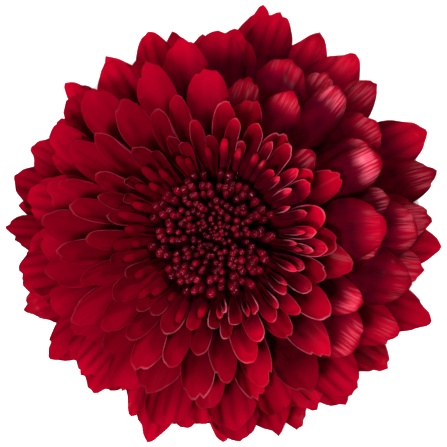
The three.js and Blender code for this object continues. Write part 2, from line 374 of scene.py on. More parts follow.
class GreenSettings(bpy.types.PropertyGroup):
    bract_color: color_of("Bract", "Colour of the bracts and the cup", (0.12, 0.20, 0.05))
    margin_color: color_of("Bract margin", "Colour of a bract's dry margin", (0.32, 0.26, 0.13))
    stem_color: color_of("Stem", "Colour of the stem's skin", (0.14, 0.22, 0.07))
    pith_color: color_of("Pith", "Colour of the cut end", (0.55, 0.60, 0.38))


class StageSettings(bpy.types.PropertyGroup):
    floor_color: color_of("Floor", "Colour of the floor", (0.92, 0.92, 0.92))
    key_power: power_of("Key light", "Power of the large light across from the open side", 11.5)
    fill_power: power_of("Fill light", "Power of the large light overhead", 2.3)
    side_power: power_of("Side light", "Power of the light that skims the open side", 6.0)
    camera_distance: length_of("Camera distance", "From the camera to the bloom", 0.45, 0.1, 3.0)


class Draws:
    """One seeded stream of numbers from -1 to 1. Each call draws the next."""

    def __init__(self, seed):
        self.state = seed

    def __call__(self):
        self.state = self.state * 48271 % 2147483647
        return self.state / 2147483647 * 2 - 1


def keyed(values, age):
    steps = np.linspace(0, 1, len(values))
    return float(np.interp(age, steps, values))


def smooth(low, high, x):
    t = np.clip((x - low) / (high - low), 0, 1)
    return t * t * (3 - 2 * t)


def fade(low, high, x):
    return 1 - smooth(low, high, x)


def come(span, age):
    """How far a change has come at one age, from 0 before its span of ages to 1 after it."""
    return float(smooth(*span, age))


def facing(azimuth, side):
    """How far one direction faces another, from 0 at right angles or behind to 1."""
    return max(0, math.cos(math.radians(azimuth - side)))


def ray_shape(draw, age, azimuth, reach=None):
    """The shape of one ray, with the same draws as its solid."""
    turn_down = come(OPEN_AGES, age) - CLOSED_SHARE * come(CLOSED_AGES, age)
    turn_down *= facing(azimuth, OPEN_SIDE)
    lean = 1 + OPEN_REACH * math.cos(math.radians(azimuth - OPEN_SIDE))
    lean += MOAT_REACH * (1 - come((0, MOAT_AGE), age)) * facing(azimuth, MOAT_SIDE)
    free_reach = keyed(TIP_R, age) * lean * (1 + RAY_VARIES["reach"] * draw())
    tip_z = keyed(TIP_Z, age) + RAY_VARIES["height"] * (1 - age / 2) * draw()
    tip_angle = keyed(TIP_ANGLE, age) + RAY_VARIES["tip_angle"] * draw()
    width = keyed(WIDTH, age) * (1 + RAY_VARIES["width"] * draw())
    roll = keyed(ROLL, age) * (1 + RAY_VARIES["roll"] * draw())
    twist_draw = draw()
    sway = RAY_VARIES["sway"] * min(1, age * 2) * draw()
    turn = RAY_VARIES["turn"] * draw()
    return {
        "age": age,
        "azimuth": azimuth if reach else azimuth + turn,
        "base": (keyed(BASE_R, age), keyed(BASE_Z, age)),
        "tip": (reach or free_reach, tip_z),
        "base_angle": keyed(BASE_ANGLE, age),
        "tip_angle": tip_angle - OPEN_TIP_TURN * turn_down,
        "width": width,
        "roll": roll + (OPEN_ROLL - roll) * turn_down,
        "twist": RAY_VARIES["twist"] * twist_draw * abs(twist_draw),
        "sway": 0 if reach else sway,
        "turn_down": turn_down,
        "neck": NARROW_NECK + YOUNG_NECK * (1 - come(AGES["neck"], age)),
    }


def all_ray_shapes():
    draw = Draws(RAY_SEED)
    shapes = []
    for n in range(INNER_RAYS):
        age = INNER_LAST_AGE * (n / (INNER_RAYS - 1)) ** INNER_CROWDING
        shapes.append(ray_shape(draw, age, n * GOLDEN_ANGLE))
    for n, (azimuth, reach) in enumerate(RIM):
        age = LONG_AGES[n % len(LONG_AGES)] if reach > LONG_REACH else SHORT_AGE
        shapes.append(ray_shape(draw, age, azimuth, reach))
    for number, shape in enumerate(shapes):
        shape["number"] = number
    return shapes


def chord_of(shape):
    """The straight distance from a blade's base to its tip."""
    return np.linalg.norm(np.subtract(shape["tip"], shape["base"]))


def midrib(shape, u):
    """Points and unit tangents of the midrib, in radius and height, at shares u of its length."""
    base, tip = np.array([shape["base"], shape["tip"]], float)
    chord = chord_of(shape)
    leaving = np.radians(shape["base_angle"])
    arriving = np.radians(shape["tip_angle"])
    first = base + MIDRIB_HANDLES[0] * chord * np.array([np.cos(leaving), np.sin(leaving)])
    second = tip - MIDRIB_HANDLES[1] * chord * np.array([np.cos(arriving), np.sin(arriving)])
    t = u[..., None]
    point = ((1 - t) ** 3 * base + 3 * (1 - t) ** 2 * t * first
             + 3 * (1 - t) * t ** 2 * second + t ** 3 * tip)
    slope = (3 * (1 - t) ** 2 * (first - base) + 6 * (1 - t) * t * (second - first)
             + 3 * t ** 2 * (tip - second))
    return point, slope / np.linalg.norm(slope, axis=-1, keepdims=True)


def place_on_blade(shape, u, side, raise_by):
    """Points of a blade's middle surface. side runs from -1 to 1 across its full width."""
    mid, along = midrib(shape, u)
    claw = CLAW_WIDTH / shape["width"]
    neck = claw + (1 - claw) * np.sin(np.clip(u / WIDEST, 0, 1) * math.pi / 2) ** shape["neck"]
    half = shape["width"] / 2 * neck
    roll = shape["roll"] * (1 - shape["spoon"] * smooth(0.5, 0.95, u))
    bend = roll * side
    rolled = half * np.sin(bend) / roll
    raised = half * (1 - np.cos(bend)) / roll + raise_by
    twist = np.radians(shape["twist"]) * u
    sideways = rolled * np.cos(twist) - raised * np.sin(twist) + shape["sway"] * u * u
    lifted = rolled * np.sin(twist) + raised * np.cos(twist)
    radius = mid[..., 0] - lifted * along[..., 1]
    height = np.maximum(mid[..., 1], LOWEST_MID_Z) + lifted * along[..., 0]
    direction = math.radians(shape["azimuth"])
    x = AXIS[0] + radius * math.cos(direction) - sideways * math.sin(direction)
    y = AXIS[1] + radius * math.sin(direction) + sideways * math.cos(direction)
    return np.stack([x, y, height], axis=-1)


def add_object(name, data):
    added = bpy.data.objects.new(name, data)
    bpy.context.scene.collection.objects.link(added)
    return added


class MeshParts:
    """Gathers closed shells with their point values, then makes one mesh of them."""

    def __init__(self):
        self.points = []
        self.faces = []
        self.values = {key: [] for key in ("along", "rim", "tint", "under", "age", "satin", "hollow")}
        self.coords = []
        self.count = 0

    def add(self, points, faces, coords, **values):
        self.points.append(points)
        self.faces.append(faces + self.count)
        self.coords.append(coords)
        for key, gathered in self.values.items():
            gathered.append(np.broadcast_to(np.asarray(values.get(key, 0), float), len(points)))
        self.count += len(points)

    def add_sheet(self, sheet, thickness, coords, **values):
        """Adds a shell round a sheet. The coords and values are grids or single numbers."""
        points, faces, inside = shell_from_sheet(sheet, thickness)

        def over_shell(grid):
            grid = np.broadcast_to(grid, inside.shape)
            return np.concatenate([grid.ravel(), grid[inside]])

        values = {key: over_shell(grid) for key, grid in values.items()}
        values["under"] = np.arange(len(points)) >= inside.size
        self.add(points, faces, np.stack([over_shell(grid) for grid in coords], axis=-1), **values)

    def make(self, name):
        mesh = bpy.data.meshes.new(name)
        mesh.from_pydata(np.concatenate(self.points) * MM, [], np.concatenate(self.faces))
        mesh.validate()
        mesh.shade_smooth()
        for key, gathered in self.values.items():
            attribute = mesh.attributes.new(key, "FLOAT", "POINT")
            attribute.data.foreach_set("value", np.concatenate(gathered).astype(np.float32))
        blade = mesh.attributes.new("blade", "FLOAT_VECTOR", "POINT")
        blade.data.foreach_set("vector", np.concatenate(self.coords).ravel().astype(np.float32))
        return add_object(name, mesh)


def quads(index):
    """The four-cornered faces of a grid of point numbers."""
    corners = [index[:-1, :-1], index[1:, :-1], index[1:, 1:], index[:-1, 1:]]
    return np.stack(corners, axis=-1).reshape(-1, 4)


def shell_from_sheet(sheet, thickness):
    """A closed shell round a grid of points, whose two faces share the grid's edge points."""
    rows, columns = sheet.shape[:2]
    normal = np.cross(np.gradient(sheet, axis=0), np.gradient(sheet, axis=1))
    normal /= np.maximum(np.linalg.norm(normal, axis=-1, keepdims=True), 1e-9)
    upper = sheet + normal * thickness[..., None] / 2
    lower = sheet - normal * thickness[..., None] / 2
    inside = np.zeros((rows, columns), bool)
    inside[1:-1, 1:-1] = True
    top = np.arange(rows * columns).reshape(rows, columns)
    bottom = top.copy()
    bottom[inside] = rows * columns + np.arange(inside.sum())
    points = np.concatenate([upper.reshape(-1, 3), lower[inside]])
    return points, np.concatenate([quads(top), quads(bottom)[:, ::-1]]), inside


def blade_grid(rows, columns, crowding, end):
    """Shares along and across a blade that ends at the shares given for each column."""
    share = 1 - (1 - np.linspace(0, 1, rows)) ** crowding
    u = share[:, None] * end[None, :]
    return share[:, None], u, np.broadcast_to(spaced(columns)[None, :], u.shape)


def round_edge(edge, width):
    """How thick a blade is near its edge, which is rounded over a width."""
    return np.sqrt(np.clip(1 - (1 - np.clip(edge / width, 0, 1)) ** 2, 0, 1))


def spaced(count):
    """Shares from -1 to 1, closer together towards both ends."""
    x = np.linspace(-1, 1, count)
    return np.sign(x) * (1 - (1 - np.abs(x)) ** 1.8)


def softened(grid):
    """A grid with its high places widened by a step and its slopes eased."""
    rows, columns = grid.shape

    def shifted(values):
        around = np.pad(values, 1, mode="edge")
        return [around[a:a + rows, b:b + columns] for a in range(3) for b in range(3)]

    grid = np.maximum.reduce(shifted(grid))
    for _ in range(3):
        grid = sum(shifted(grid)) / 9
    return grid


class Canopy:
    """The underside of the rays laid so far, as heights over a grid of squares.

    Rays are laid from the youngest to the oldest, and each is pressed down under those before it.
    """

    def __init__(self):
        squares = int(2 * CANOPY_HALF / CANOPY_SQUARE)
        self.height = np.full((squares, squares), CANOPY_OPEN)

    def squares(self, points):
        index = ((points[..., :2] + CANOPY_HALF) / CANOPY_SQUARE).astype(int)
        return index[..., 0], index[..., 1]

    def press(self, sheet, u):
        over = sheet[..., 2] + CANOPY_GAP - self.height[self.squares(sheet)]
        sheet[..., 2] -= softened(np.clip(over, 0, CANOPY_PRESS) * smooth(0.1, 0.35, u))

    def cover(self, sheet):
        for down in np.arange(6) / 6:
            rows = sheet[:-1] * (1 - down) + sheet[1:] * down
            for across in np.arange(4) / 4:
                points = rows[:, :-1] * (1 - across) + rows[:, 1:] * across
                np.minimum.at(self.height, self.squares(points), points[..., 2])


class Blade:
    """One ray as a thin closed blade with a toothed tip, channels and a rolled margin."""

    def __init__(self, shape, rows, columns, settings):
        self.shape = shape
        self.settings = settings
        self.draw = Draws(BLADE_SEED[0] + BLADE_SEED[1] * shape["number"])
        self.chord = chord_of(shape)
        self.age = shape["age"]
        self.turn_down = shape["turn_down"]
        self.turned = self.turn_down
        self.quill = 1 - self.now("quill")
        self.grown = self.now("grown")
        self.young = 1 - self.now("young")
        self.old = self.now("old")
        self.closed = self.age < CLOSED_QUILL_AGE and self.toward(OPEN_QUILL_SIDE) < OPEN_QUILL_REACH
        self.shorter = self.now("short") * (1 - self.now("long")) * self.toward(OPEN_SIDE) ** 0.5
        self.cupped = self.now("cupped") * (1 - self.now("uncupped")) * self.toward(CUPPED_SIDE) ** 0.5
        self.vary_shape()
        end = self.tip_end(spaced(columns))
        self.share, self.u, self.v = blade_grid(rows, columns, 1.5, end)
        self.edge = np.minimum(1 - np.abs(self.v), (1 - self.share) * 2.2)

    def now(self, trait):
        """How far a trait has come at the ray's age."""
        return come(AGES[trait], self.age)

    def toward(self, side):
        return facing(self.shape["azimuth"], side)

    def move_tip(self, reach, drop):
        tip_r, tip_z = self.shape["tip"]
        self.shape["tip"] = (tip_r * reach, tip_z - drop)

    def vary_shape(self):
        """Changes the shape by the ray's age and side, and a little by its own draws."""
        shape, draw, quill = self.shape, self.draw, self.quill
        shape["roll"] *= 1 + QUILL["roll"] * quill + 0.3 * self.turned
        shape["spoon"] = 0.5 * (1 - self.now("spoon"))
        if self.closed:
            self.turned = 1.0
            shape["roll"] = CLOSED_QUILL["roll"] - CLOSED_QUILL["roll_varies"] * draw()
            shape["spoon"] = 0.0
        self.move_tip(1 - SHORTER["reach"] * self.shorter, SHORTER["drop"] * self.shorter)
        egg = self.turn_down > EGG_OPENNESS and self.age < EGG_LAST_AGE
        if egg and shape["number"] % 2:
            self.move_tip(SMALL_EGG["reach"], SMALL_EGG["drop"])
            shape["width"] *= SMALL_EGG["width"]
        elif egg:
            shape["roll"] *= LARGE_EGG["roll"]
            shape["width"] *= LARGE_EGG["width"]
        else:
            twisted = self.now("twisted") - TWIST_LOSS * self.now("straight")
            shape["twist"] += TWIST * twisted * draw()
        shape["width"] *= 1 - CUPPED["slimmer"] * self.cupped
        shape["roll"] *= 1 + CUPPED["roll"] * self.cupped
        shape["tip_angle"] -= LEAN_ANGLE * ((1 - self.now("leaning")) * self.toward(LEAN_SIDE))
        shape["azimuth"] += QUILL["turn"] * quill * draw()
        shape["width"] *= 1 - SLIM_SHARE * (1 - self.now("slim")) * self.toward(SLIM_SIDE)
        self.move_tip(1 + QUILL["reach"] * quill * draw(), 0)
        shape["tip_angle"] += QUILL["tip_angle"] * quill * draw()

    def tip_end(self, side):
        """How far along the blade each column ends: a blunt or pointed tip, notched with teeth."""
        draw, quill = self.draw, self.quill
        blunt = keyed(TIP_BLUNT, self.age) * (1 + 0.2 * draw()) * (1 - QUILL["blunt"] * quill)
        shoulder = TIP_SHOULDER * (1 + 0.25 * draw()) * (1 + QUILL["shoulder"] * quill)
        self.pointed = self.now("pointed") * (0.7 + 0.3 * draw()) * (1 - self.turned)
        blunt += (POINTED_TIP[0] - blunt) * self.pointed
        shoulder += (POINTED_TIP[1] - shoulder) * self.pointed
        if self.closed:
            blunt, shoulder = CLOSED_QUILL["tip"]
        end = WIDEST + (1 - WIDEST) * (1 - np.abs(side) ** (1 / shoulder)) ** (1 / blunt)
        teeth = 2 + int(1.5 + 1.4 * draw())
        deepest = self.settings.tooth / MM / self.chord * self.grown
        for _ in range(teeth):
            where = TOOTH_PLACES * draw()
            depth = deepest * (0.6 + 0.5 * draw()) * (1 - 0.9 * self.turned)
            end = end - depth * np.exp(-((side - where) / TOOTH_WIDTH) ** 2)
        return end

    def relief(self):
        """How far each point is raised: grooves, a channel, folds, a ruffle, the margin, the hood."""
        draw, u, v, grown = self.draw, self.u, self.v, self.grown
        turn_down = self.turn_down
        waves = 1.6 + 0.5 * draw()
        groove = self.settings.groove / MM * (0.4 + 0.6 * grown) * (1 + 0.4 * draw())
        raise_by = groove * np.cos(2 * math.pi * waves * v + 3 * draw()) * smooth(0.25, 0.6, u)
        channel = CHANNEL_DEPTH * (0.5 + 0.5 * draw()) * grown
        raise_by -= channel * np.exp(-(v / 0.35) ** 2) * smooth(0.15, 0.5, u)
        fold = grown * (0.5 + 0.5 * draw()) * (1 - 2 * turn_down) * (1 + 1.6 * self.pointed)
        crease = CREASE_DEPTH * self.now("creased") * (0.6 + 0.4 * draw())
        self.from_crease = np.abs((2 * v + draw()) % 1 - 0.5)
        raise_by += crease * (self.from_crease - 0.25) * smooth(0.4, 0.8, u)
        raise_by += fold * np.abs(v) * smooth(0.2, 0.7, u)
        ruffle = RUFFLE_HEIGHT * grown * draw()
        raise_by += ruffle * np.sin(2 * math.pi * (1.4 * u + draw())) * v * np.abs(v)
        lift = MARGIN_LIFT * (1 - 1.6 * turn_down)
        raise_by += lift * smooth(0.72, 1, np.abs(v)) * smooth(0.3, 0.6, u)
        hood = (1.3 - 0.7 * grown - QUILL["hood"] * self.quill) * (1 - turn_down) - 0.5 * turn_down
        if self.closed:
            hood = CLOSED_QUILL["hood"]
        return raise_by + hood * smooth(0.8, 1, u) ** 2 * (1 + 0.4 * draw())

    def thickness(self):
        rounding = round_edge(self.edge, 0.04) * (0.3 + 0.7 * smooth(0, 0.4, self.edge))
        thicker = 1 + QUILL["thick"] * self.quill * smooth(0.6, 0.9, self.u)
        return self.settings.thickness / MM * rounding * thicker

    def hollow(self, calm):
        """How much painted shade darkens each point, as it lies low in a cup, under a turned margin or
        in a crease.
        """
        u, v, turned, old = self.u, self.v, self.turned, self.old
        hollow = (1 - v ** 2) * fade(0.5, 0.95, u) * (1 - turned)
        hollow += smooth(0.45, 1, np.abs(v)) * turned + turned * smooth(0.85, 1, self.share)
        hollow += self.toward(OPEN_QUILL_SIDE) * self.quill * fade(0.4, 0.8, u)
        hollow += self.turn_down * fade(0.5, 0.8, u)
        in_cup = fade(0.6, 1, np.abs(v)) * fade(0.8, 1, u)
        hollow += CUPPED["hollow"] * self.cupped * in_cup
        hollow += SHORTER["hollow"] * self.shorter * fade(0.6, 1, u)
        in_crease = fade(0, 0.22, self.from_crease) * smooth(0.3, 0.7, u) * fade(0.85, 1, u)
        hollow += 0.9 * old * in_crease
        return np.clip(hollow * (1 - 0.6 * calm * (1 - old)), 0, 1.3)

    def climb(self, calm):
        """How far the colour has gone from the claw's to the face's, as a share: the claw's colour is
        painted shade deep in the bloom, reaching further by the ray's age and side.
        """
        late = 0.9 * self.turn_down
        late_young = 0.8 * self.young * self.toward(GLOSS_AND_SHEEN_SIDE)
        late_deep = 0.5 * self.now("deep") * (1 - calm)
        climb = self.u ** (1 + QUILL["climb"] * self.quill + late + late_young + late_deep)
        evened = (0.82 + 0.06 * self.now("even") - 0.3 * self.old) * calm
        return climb + (CALM_SHADE - climb) * evened

    def light(self, calm):
        """How much painted light brightens the whole blade, by its age and side."""
        light = (LIGHT_OPEN - LIGHT_OPEN_LOSS * self.now("dim")) * self.toward(OPEN_SIDE)
        for amount, ages, side, narrow in LIGHT:
            light += amount * come(ages, self.age) * self.toward(side) ** narrow
        young = LIGHT_YOUNG * self.young
        return light + (young * self.toward(LIGHT_YOUNG_SIDE) + (LIGHT_CALM - young) * calm)

    def values(self):
        """The point values that the material reads, as grids or single numbers."""
        draw, u, v, old = self.draw, self.u, self.v, self.old
        azimuth = self.shape["azimuth"]
        from_calm = math.cos(math.radians(azimuth - CALM_SIDE - CALM_OLD_TURN * old))
        calm = float(smooth(-0.5 - 0.45 * old, 0.7 - 0.5 * old, from_calm))
        # The pale margin: partly its own colour, partly painted highlight, stronger on some sides and on
        # one side of the blade.
        pale = (1 - self.now("dull")) * (0.55 + 0.45 * draw())
        pale *= 0.18 + 0.82 * float(smooth(-0.5, 0.6, math.cos(math.radians(azimuth - MARGIN_HIGHLIGHT_SIDE))))
        # Gloss for the coat and painted sheen in the colour, on the turned-down rays of one side and on
        # young and old rays.
        gloss_and_sheen = min(1, 1.5 * self.turn_down) * (0.65 + 0.35 * draw())
        on_side = self.toward(GLOSS_AND_SHEEN_SIDE) ** 0.5
        gloss_and_sheen = gloss_and_sheen * on_side + YOUNG_GLOSS_AND_SHEEN * self.young * on_side
        lit_side = math.copysign(1, draw())
        pale *= 1 + CUPPED["margin_highlight"] * self.cupped
        pale *= (0.08 + 0.92 * smooth(-0.45, 0.5, lit_side * v)) * max(0, 1 - 2 * self.turned)
        pale *= 1 + 0.5 * self.toward(MARGIN_BRIGHTEST_SIDE)
        rim_width = 0.05 + 0.1 * (1 - self.now("thin rim"))
        bulge = smooth(0.68, 0.88, u) * fade(0.92, 1, u) * smooth(0.12, 0.55, 1 - np.abs(v))
        gloss_and_sheen += OLD_GLOSS_AND_SHEEN * old * max(0, draw())
        # A random tone, with painted light by the ray's age and side.
        tint = 0.5 + 0.5 * draw() * (1 - 0.6 * calm) + self.light(calm)
        return {
            "along": self.climb(calm), "age": self.age, "tint": tint, "satin": gloss_and_sheen * bulge,
            "rim": pale * fade(0, rim_width, self.edge) * smooth(0.5, 0.8, u),
            "hollow": self.hollow(calm),
        }

    def add_to(self, parts, canopy):
        shape, u = self.shape, self.u
        sheet = place_on_blade(shape, u, self.v, self.relief())
        sheet[..., 2] -= CROWN_PRESS * np.maximum(sheet[..., 2] - CROWN_Z, 0)
        canopy.press(sheet, u)
        canopy.cover(sheet)
        thickness = self.thickness()
        sheet[..., 2] = np.maximum(sheet[..., 2], thickness / 2 + LOWEST_Z)
        coords = (self.v * shape["width"] / 2, u * self.chord, 3.0 * shape["number"])
        parts.add_sheet(sheet, thickness, coords, **self.values())


def lathe(profile, sides, wobble=None):
    """Points and faces of a form turned from a profile of radii and heights."""
    profile = np.asarray(profile, float)
    angles = np.arange(sides) / sides * 2 * math.pi
    radius = np.repeat(profile[:, :1], sides, axis=1)
    if wobble is not None:
        radius = radius * wobble(angles[None, :], profile)
    height = np.repeat(profile[:, 1:2], sides, axis=1)
    points = np.stack([radius * np.cos(angles), radius * np.sin(angles), height], axis=-1)
    grid = np.arange(len(profile) * sides).reshape(len(profile), sides)
    after = np.roll(grid, -1, axis=1)
    faces = np.stack([grid[:-1], after[:-1], after[1:], grid[1:]], axis=-1).reshape(-1, 4)
    return points.reshape(-1, 3), faces


def add_lathed(parts, profile, **values):
    """Adds a plain form turned about the flower's axis."""
    points, faces = lathe(profile, LATHE_SIDES)
    points += (*AXIS, 0)
    parts.add(points, faces, points, **values)


def rounded(points, per_span):
    """A smooth curve through a profile's points."""
    points = np.asarray(points, float)
    before = np.vstack([2 * points[0] - points[1], points, 2 * points[-1] - points[-2]])
    out = []
    for n in range(len(points) - 1):
        p0, p1, p2, p3 = before[n:n + 4]
        for t in np.arange(per_span) / per_span:
            out.append(0.5 * (2 * p1 + (p2 - p0) * t + (2 * p0 - 5 * p1 + 4 * p2 - p3) * t * t
                              + (3 * p1 - p0 - 3 * p2 + p3) * t ** 3))
    out.append(points[-1])
    return np.array(out)


# Materials

class NodeMaker:
    """Short ways to add nodes to a tree and to join them."""

    def __init__(self, tree):
        self.nodes = tree.nodes
        self.links = tree.links

    def put(self, value, socket):
        """Links an output to a socket, or sets the socket to a plain value."""
        if isinstance(value, bpy.types.NodeSocket):
            self.links.new(value, socket)
        elif socket.type == "RGBA":
            socket.default_value = (*value, 1)
        else:
            socket.default_value = value

    def add(self, kind, inputs=(), **options):
        """Adds a node, with its inputs given by name or number, and gives its outputs."""
        node = self.nodes.new("ShaderNode" + kind)
        for key, value in options.items():
            setattr(node, key, value)
        for key, value in dict(inputs).items():
            self.put(value, node.inputs[key])
        return node.outputs

    def attribute(self, name, output="Fac"):
        return self.add("Attribute", attribute_name=name)[output]

    def math(self, operation, first, second):
        return self.add("Math", {0: first, 1: second}, operation=operation)[0]

    def spread(self, value, low, high, to_low=0, to_high=1, kind="SMOOTHSTEP"):
        inputs = {"Value": value, "From Min": low, "From Max": high, "To Min": to_low, "To Max": to_high}
        return self.add("MapRange", inputs, interpolation_type=kind)["Result"]

    def mix(self, share, first, second, blend="MIX"):
        inputs = {0: share, 6: first, 7: second}
        return self.add("Mix", inputs, data_type="RGBA", blend_type=blend)[2]

    def toned(self, color, share, low, high):
        """A colour times a factor that goes from low to high with the share."""
        return self.mix(1, color, self.mix(share, low, high), "MULTIPLY")

    def partly_toned(self, color, share, factor):
        """A colour that goes to the colour times a factor with the share."""
        return self.mix(share, color, self.mix(1, color, factor, "MULTIPLY"))

    def partly(self, color, mask, share, other):
        """A colour with a share of another laid over it where the mask is."""
        return self.mix(self.math("MULTIPLY", mask, share), color, other)


def new_group(name, numbers, results):
    """A group that is given a place on a blade and numbers: its maker, and its sockets inside."""
    group = bpy.data.node_groups.new(name, "ShaderNodeTree")
    add = group.interface.new_socket
    add("Blade", in_out="INPUT", socket_type="NodeSocketVector")
    for key, value in numbers.items():
        add(key, in_out="INPUT", socket_type="NodeSocketFloat").default_value = value
    for key in results:
        add(key, in_out="OUTPUT", socket_type="NodeSocketFloat")
    given = group.nodes.new("NodeGroupInput").outputs
    return group, NodeMaker(group), given, group.nodes.new("NodeGroupOutput").inputs


def striation_group():
    """Fine lines that run along a blade, as a mask and as a height."""
    group, made, given, result = new_group(
        "Fine striations", {"Lines per mm": 4.0, "Stretch": 0.06}, ("Mask", "Height"))
    split = made.add("SeparateXYZ", {0: given["Blade"]})
    slow = made.math("MULTIPLY", split["Y"], given["Stretch"])
    joined = made.add("CombineXYZ", {"X": split["X"], "Y": slow, "Z": split["Z"]})[0]
    fine = made.add("TexNoise", {
        "Vector": joined, "Scale": given["Lines per mm"], "Detail": 3, "Roughness": 0.6})["Fac"]
    made.put(made.spread(fine, 0.35, 0.65, kind="LINEAR"), result["Mask"])
    made.put(fine, result["Height"])
    return group


def mottle_group():
    """Broad soft patches over a petal, as a mask from 0 to 1."""
    group, made, given, result = new_group("Soft mottling", {"Scale": 0.35}, ("Mask",))
    patches = made.add("TexNoise", {"Vector": given["Blade"], "Scale": given["Scale"], "Detail": 2})
    made.put(made.spread(patches["Fac"], 0.3, 0.7, kind="LINEAR"), result["Mask"])
    return group


class MaterialMaker(NodeMaker):
    """A material with a Principled shader, and the groups that its nodes use."""

    def __init__(self, name):
        self.material = bpy.data.materials.new(name)
        self.material.use_nodes = True
        super().__init__(self.material.node_tree)
        self.shader = self.nodes["Principled BSDF"]

    def group(self, name, maker, **values):
        """The outputs of a shared group that reads the places on a blade."""
        tree = bpy.data.node_groups.get(name) or maker()
        inputs = {key.replace("_", " "): value for key, value in values.items()}
        inputs["Blade"] = self.attribute("blade", "Vector")
        return self.add("Group", inputs, node_tree=tree)

    def striations(self, **values):
        return self.group("Fine striations", striation_group, **values)

    def mottling(self, **values):
        return self.group("Soft mottling", mottle_group, **values)["Mask"]

    def bump(self, height, strength, distance):
        inputs = {"Strength": strength, "Distance": distance, "Height": height}
        self.feed("Normal", self.add("Bump", inputs)["Normal"])

    def feed(self, socket, value):
        self.put(value, self.shader.inputs[socket])


def ray_material(settings):
    made = MaterialMaker("ray petal")
    age = made.attribute("age")
    along = made.attribute("along")
    satin = made.attribute("satin")
    lines = made.striations()
    patches = made.mottling()
    # Painted shade: darker from the face towards the claw, deep in the bloom.
    color = made.mix(made.spread(along, 0.5, 0.95), settings.deep_shade_color, settings.face_color)
    # A random tone per ray, with painted light by its age and side, from dim to bright.
    color = made.toned(color, made.spread(made.attribute("tint"), 0, 1.2), DIM, BRIGHT)
    # Painted light: the tips of the young rays are brighter.
    young = made.math("MULTIPLY", made.spread(age, 0.3, 0.45, 1, 0), made.spread(along, 0.6, 1))
    color = made.toned(color, young, PLAIN, BRIGHT)
    color = made.toned(color, made.spread(age, 0.5, 0.95), MIDDLE_AGED, AGED)
    # Painted shade in cups, under turned margins and in creases.
    color = made.partly_toned(color, made.attribute("hollow"), PAINTED_SHADE_FACTOR)
    color = made.partly(color, lines["Mask"], 0.2, RAY_LINE_COLOR)
    color = made.partly(color, patches, 0.2, RAY_PATCH_COLOR)
    grown = made.spread(age, 0.1, 0.5, 0, 0.75)
    color = made.partly(color, made.attribute("under"), grown, settings.under_color)
    uneven = made.spread(patches, 0, 0.8, 0.2, 1)
    # Pale margins: partly their own colour, partly painted highlight.
    color = made.partly(color, made.attribute("rim"), uneven, settings.rim_color)
    # Painted sheen and glints in the colour; the glints also give a little real coat.
    streaks = made.striations(Lines_per_mm=1.7, Stretch=0.06)["Mask"]
    glints = made.math("MULTIPLY", satin, made.spread(streaks, 0, 1, 0.3, 1))
    color = made.partly_toned(color, made.math("MULTIPLY", satin, 0.9), PAINTED_SHEEN_FACTOR)
    color = made.mix(made.spread(glints, 0.15, 0.95, 0, 0.8), color, PAINTED_GLINT_COLOR)
    made.feed("Base Color", color)
    made.feed("Roughness", made.spread(patches, 0, 1, 0.46, 0.58))
    made.feed("Specular IOR Level", 0)
    made.feed("Coat Weight", made.math("MULTIPLY", glints, 0.2))
    made.feed("Coat Roughness", 0.3)
    made.bump(lines["Height"], 0.25, 0.0002)
    return made.material


def receptacle_material():
    """The cushion's material, made once for both of its pieces: near-black, as painted shade deep in the
    bloom.
    """
    if "receptacle" in bpy.data.materials:
        return bpy.data.materials["receptacle"]
    made = MaterialMaker("receptacle")
    grain = made.mottling(Scale=1.5)
    made.feed("Base Color", made.mix(grain, *RECEPTACLE_SHADE_COLORS))
    made.feed("Roughness", 0.8)
    made.feed("Specular IOR Level", 0)
    made.bump(grain, 0.4, 0.0003)
    return made.material


def disc_material(settings):
    made = MaterialMaker("disc floret")
    patches = made.mottling(Scale=0.9)
    # Painted shade: darker towards the feet, deep between the buds.
    up_the_bud = made.spread(made.attribute("along"), 0.35, 0.95)
    color = made.mix(up_the_bud, BUD_FOOT_SHADE_COLOR, settings.bud_color)
    # Painted shade in the seams between the lobes.
    color = made.partly(color, made.attribute("rim"), 0.5, BUD_SEAM_SHADE_COLOR)
    # A random tone, with painted shade on the outer buds of one side.
    color = made.toned(color, made.attribute("tint"), BUD_DIM, BUD_BRIGHT)
    # Darker towards one place near the middle: partly the younger buds' colour, partly painted shade in
    # the sunken middle.
    color = made.toned(color, made.spread(made.attribute("age"), 0, 0.6), BUD_DARKEST, BUD_AWAY_FROM_DARKEST)
    made.feed("Base Color", color)
    made.feed("Roughness", made.spread(patches, 0, 1, 0.2, 0.32))
    made.feed("Specular IOR Level", 0.36)
    made.feed("Specular Tint", BUD_SHINE)
    made.bump(patches, 0.2, 0.0001)
    return made.material


def green_material(name, color, margin):
    made = MaterialMaker(name)
    lines = made.striations(Lines_per_mm=3.0)
    patches = made.mottling(Scale=0.5)
    shade = made.partly(color, lines["Mask"], 0.35, GREEN_LINE_COLOR)
    shade = made.partly(shade, patches, 0.3, GREEN_PATCH_COLOR)
    made.feed("Base Color", made.mix(made.attribute("rim"), shade, margin))
    made.feed("Roughness", made.spread(patches, 0, 1, 0.55, 0.75))
    made.feed("Sheen Weight", 0.25)
    made.bump(lines["Height"], 0.4, 0.0002)
    return made.material


def finish_piece(parts, name, material, node):
    piece = parts.make(name)
    piece.data.materials.append(material)
    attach(piece, "root")
    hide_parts(node)


# Operators

class BLOOM_OT_ray_florets(bpy.types.Operator):
    """Build the ray florets, a piece for each span of age"""
    bl_idname = "bloom.ray_florets"
    bl_label = "Ray florets"

    def execute(self, context):
        settings = context.scene.bloom_rays
        material = ray_material(settings)
        shapes = sorted(all_ray_shapes(), key=lambda shape: shape["age"])
        canopy = Canopy()
        for name, youngest, oldest, rows, columns in WHORLS:
            parts = MeshParts()
            for shape in shapes:
                if youngest <= shape["age"] < oldest:
                    Blade(shape, rows, columns, settings).add_to(parts, canopy)
            finish_piece(parts, name, material, "ray_florets")
        return {"FINISHED"}


